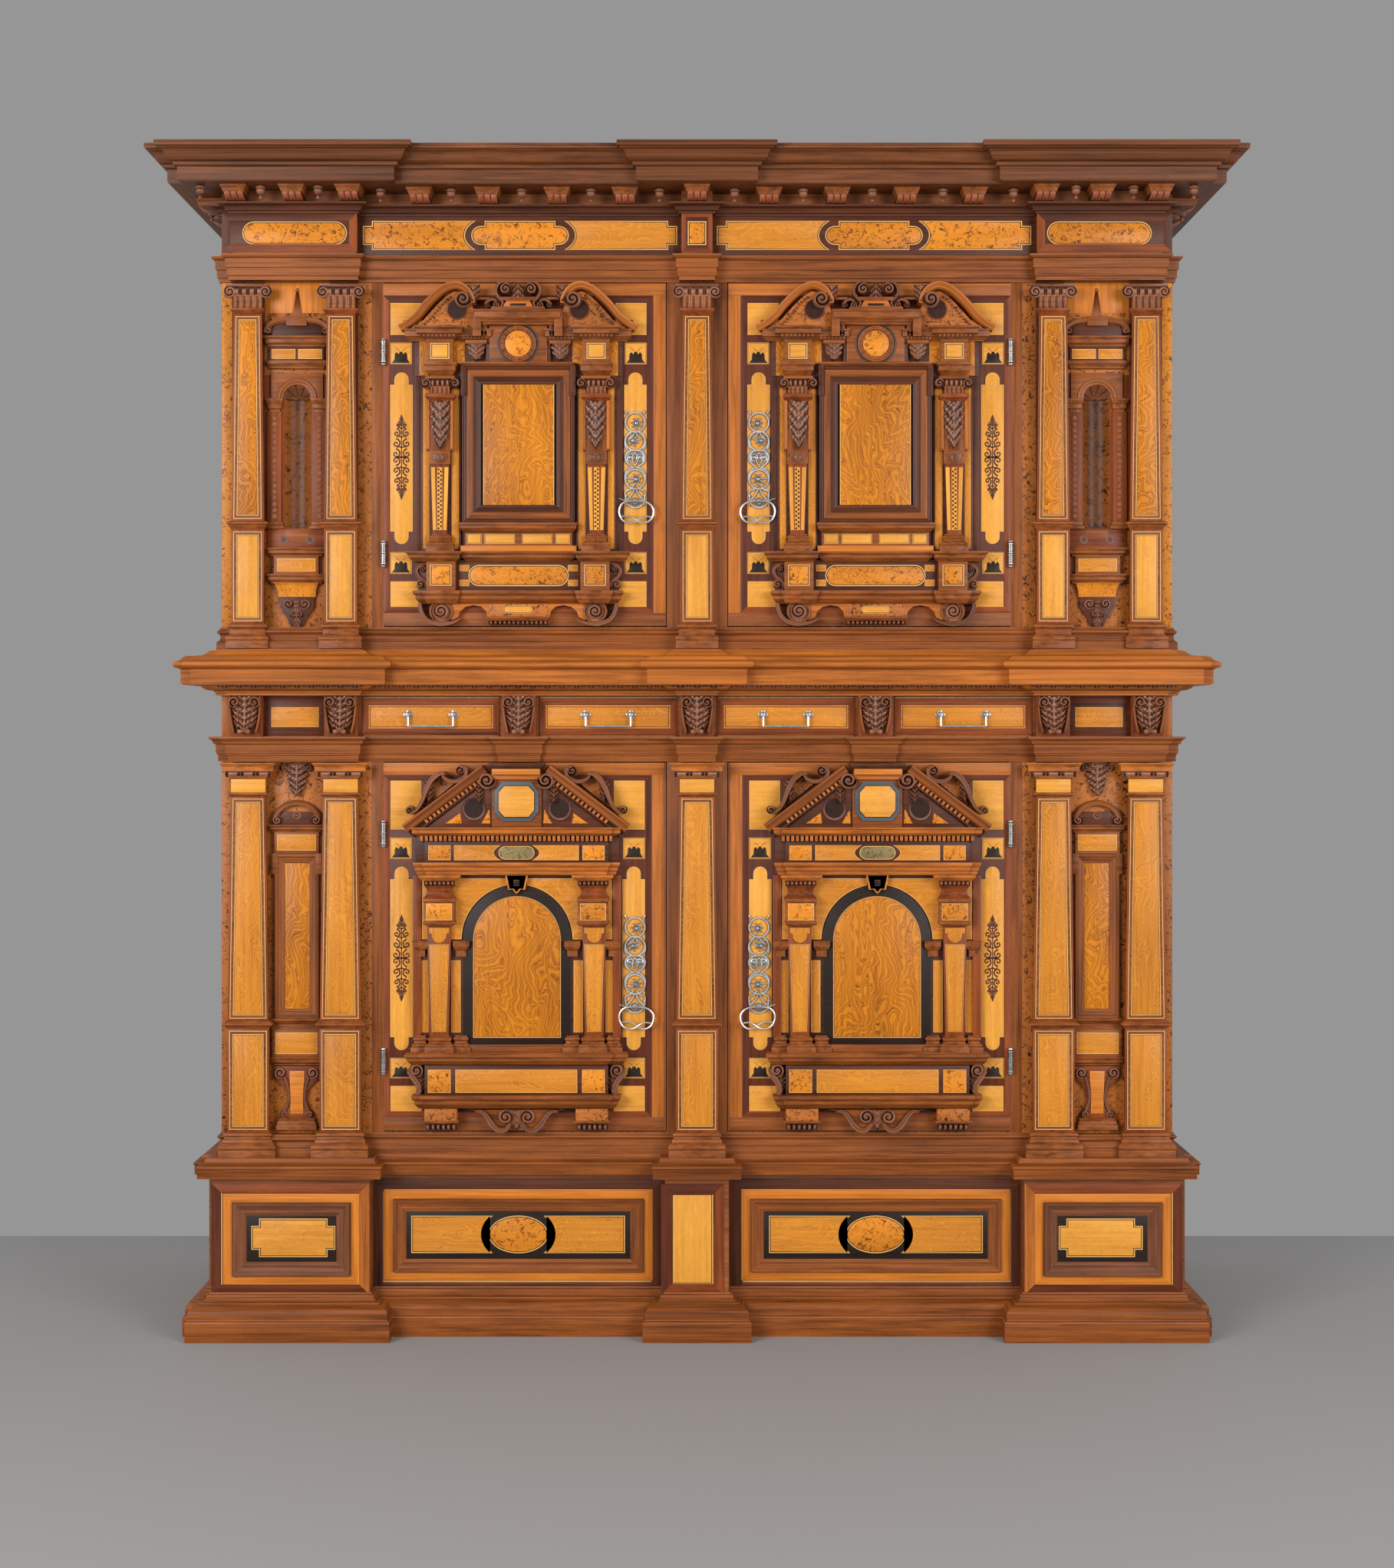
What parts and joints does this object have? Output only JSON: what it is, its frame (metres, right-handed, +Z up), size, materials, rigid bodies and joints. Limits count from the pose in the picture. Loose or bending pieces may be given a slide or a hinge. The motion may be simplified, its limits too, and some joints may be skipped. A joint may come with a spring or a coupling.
{
  "type": "two-tiered architectural cabinet",
  "caption": "Two-tiered walnut cabinet with pilasters, hinged cupboard doors, a row of shallow drawers and a broad moulded crown.",
  "frame": {"origin": "middle of the bounding box at floor level", "axes": "+X to the right seen from the front, +Y to the back, +Z up; the doors face -Y"},
  "size_m": [2.156, 0.75, 2.35],
  "materials": {
    "iron": "worn, hand forged",
    "plum_panel": "waxed plum veneer with pale inlay",
    "carved_walnut": "waxed carving",
    "ebonised_panel": "ebonised, waxed",
    "ash_drawer": "waxed figured ash",
    "ash_pilaster": "waxed figured ash",
    "plain_walnut": "waxed, plain",
    "walnut": "waxed"
  },
  "bodies": {
    "root": {"bed_moulding": "walnut", "crown_case": "plain_walnut", "crown_cornice": "walnut", "crown_drops": "walnut", "drawer_rack": "plain_walnut", "frieze_consoles": "walnut", "girt_moulding": "walnut", "hinge_seats": "iron", "lintel_moulding": "walnut", "lower_case": "plain_walnut", "lower_front": "walnut", "lower_niches": "carved_walnut", "lower_pilasters": "ash_pilaster", "lower_shelf": "plain_walnut", "modillions": "walnut", "plinth_cap": "walnut", "plinth_case": "plain_walnut", "plinth_foot": "walnut", "plinth_panels": "ebonised_panel", "plinth_piers": "walnut", "upper_case": "plain_walnut", "upper_front": "walnut", "upper_niches": "carved_walnut", "upper_pilasters": "ash_pilaster", "upper_shelf": "plain_walnut", "waist_cornice": "walnut"},
    "door_lower_left": {"door_lower_left_frame": "walnut", "door_lower_left_panel": "plum_panel", "door_lower_left_order": "carved_walnut", "door_lower_left_irons": "iron"},
    "ring_lower_left": {"door_lower_left_ring": "iron"},
    "door_lower_right": {"door_lower_right_frame": "walnut", "door_lower_right_panel": "plum_panel", "door_lower_right_order": "carved_walnut", "door_lower_right_irons": "iron"},
    "ring_lower_right": {"door_lower_right_ring": "iron"},
    "bolt_lower_right": {"bolt_lower_right": "iron"},
    "door_upper_left": {"door_upper_left_frame": "walnut", "door_upper_left_panel": "plum_panel", "door_upper_left_order": "carved_walnut", "door_upper_left_irons": "iron"},
    "ring_upper_left": {"door_upper_left_ring": "iron"},
    "door_upper_right": {"door_upper_right_frame": "walnut", "door_upper_right_panel": "plum_panel", "door_upper_right_order": "carved_walnut", "door_upper_right_irons": "iron"},
    "ring_upper_right": {"door_upper_right_ring": "iron"},
    "bolt_upper_right": {"bolt_upper_right": "iron"},
    "drawer_outer_left": {"drawer_outer_left": "ash_drawer", "pulls_outer_left": "iron"},
    "bail_outer_left": {"bail_outer_left": "iron"},
    "drawer_outer_right": {"drawer_outer_right": "ash_drawer", "pulls_outer_right": "iron"},
    "bail_outer_right": {"bail_outer_right": "iron"},
    "drawer_inner_left": {"drawer_inner_left": "ash_drawer", "pulls_inner_left": "iron"},
    "bail_inner_left": {"bail_inner_left": "iron"},
    "drawer_inner_right": {"drawer_inner_right": "ash_drawer", "pulls_inner_right": "iron"},
    "bail_inner_right": {"bail_inner_right": "iron"}
  },
  "joints": [
    {"name": "door_lower_left_hinge", "type": "hinge", "parent": "root", "child": "door_lower_left", "pos_m": [-0.628, -0.2315, 0.771], "axis": [0, 0, -1], "range_deg": [0, 95]},
    {"name": "ring_lower_left_swing", "type": "hinge", "parent": "door_lower_left", "child": "ring_lower_left", "pos_m": [-0.124, -0.238, 0.6496], "axis": [-1, 0, 0], "range_deg": [0, 75]},
    {"name": "door_lower_right_hinge", "type": "hinge", "parent": "root", "child": "door_lower_right", "pos_m": [0.628, -0.2315, 0.771], "axis": [0, 0, 1], "range_deg": [0, 95]},
    {"name": "ring_lower_right_swing", "type": "hinge", "parent": "door_lower_right", "child": "ring_lower_right", "pos_m": [0.124, -0.238, 0.6496], "axis": [-1, 0, 0], "range_deg": [0, 75]},
    {"name": "bolt_lower_right_throw", "type": "slide", "parent": "door_lower_right", "child": "bolt_lower_right", "axis": [-1, 0, 0], "range_m": [0, 0.012]},
    {"name": "door_upper_left_hinge", "type": "hinge", "parent": "root", "child": "door_upper_left", "pos_m": [-0.628, -0.2315, 1.757], "axis": [0, 0, -1], "range_deg": [0, 95]},
    {"name": "ring_upper_left_swing", "type": "hinge", "parent": "door_upper_left", "child": "ring_upper_left", "pos_m": [-0.124, -0.238, 1.6616], "axis": [-1, 0, 0], "range_deg": [0, 75]},
    {"name": "door_upper_right_hinge", "type": "hinge", "parent": "root", "child": "door_upper_right", "pos_m": [0.628, -0.2315, 1.757], "axis": [0, 0, 1], "range_deg": [0, 95]},
    {"name": "ring_upper_right_swing", "type": "hinge", "parent": "door_upper_right", "child": "ring_upper_right", "pos_m": [0.124, -0.238, 1.6616], "axis": [-1, 0, 0], "range_deg": [0, 75]},
    {"name": "bolt_upper_right_throw", "type": "slide", "parent": "door_upper_right", "child": "bolt_upper_right", "axis": [-1, 0, 0], "range_m": [0, 0.012]},
    {"name": "drawer_outer_left_slide", "type": "slide", "parent": "root", "child": "drawer_outer_left", "axis": [0, -1, 0], "range_m": [0, 0.3]},
    {"name": "bail_outer_left_swing", "type": "hinge", "parent": "drawer_outer_left", "child": "bail_outer_left", "pos_m": [-0.53325, -0.2348, 1.23558], "axis": [-1, 0, 0], "range_deg": [0, 85]},
    {"name": "drawer_outer_right_slide", "type": "slide", "parent": "root", "child": "drawer_outer_right", "axis": [0, -1, 0], "range_m": [0, 0.3]},
    {"name": "bail_outer_right_swing", "type": "hinge", "parent": "drawer_outer_right", "child": "bail_outer_right", "pos_m": [0.53325, -0.2348, 1.23558], "axis": [-1, 0, 0], "range_deg": [0, 85]},
    {"name": "drawer_inner_left_slide", "type": "slide", "parent": "root", "child": "drawer_inner_left", "axis": [0, -1, 0], "range_m": [0, 0.3]},
    {"name": "bail_inner_left_swing", "type": "hinge", "parent": "drawer_inner_left", "child": "bail_inner_left", "pos_m": [-0.17775, -0.2348, 1.23558], "axis": [-1, 0, 0], "range_deg": [0, 85]},
    {"name": "drawer_inner_right_slide", "type": "slide", "parent": "root", "child": "drawer_inner_right", "axis": [0, -1, 0], "range_m": [0, 0.3]},
    {"name": "bail_inner_right_swing", "type": "hinge", "parent": "drawer_inner_right", "child": "bail_inner_right", "pos_m": [0.17775, -0.2348, 1.23558], "axis": [-1, 0, 0], "range_deg": [0, 85]}
  ]
}
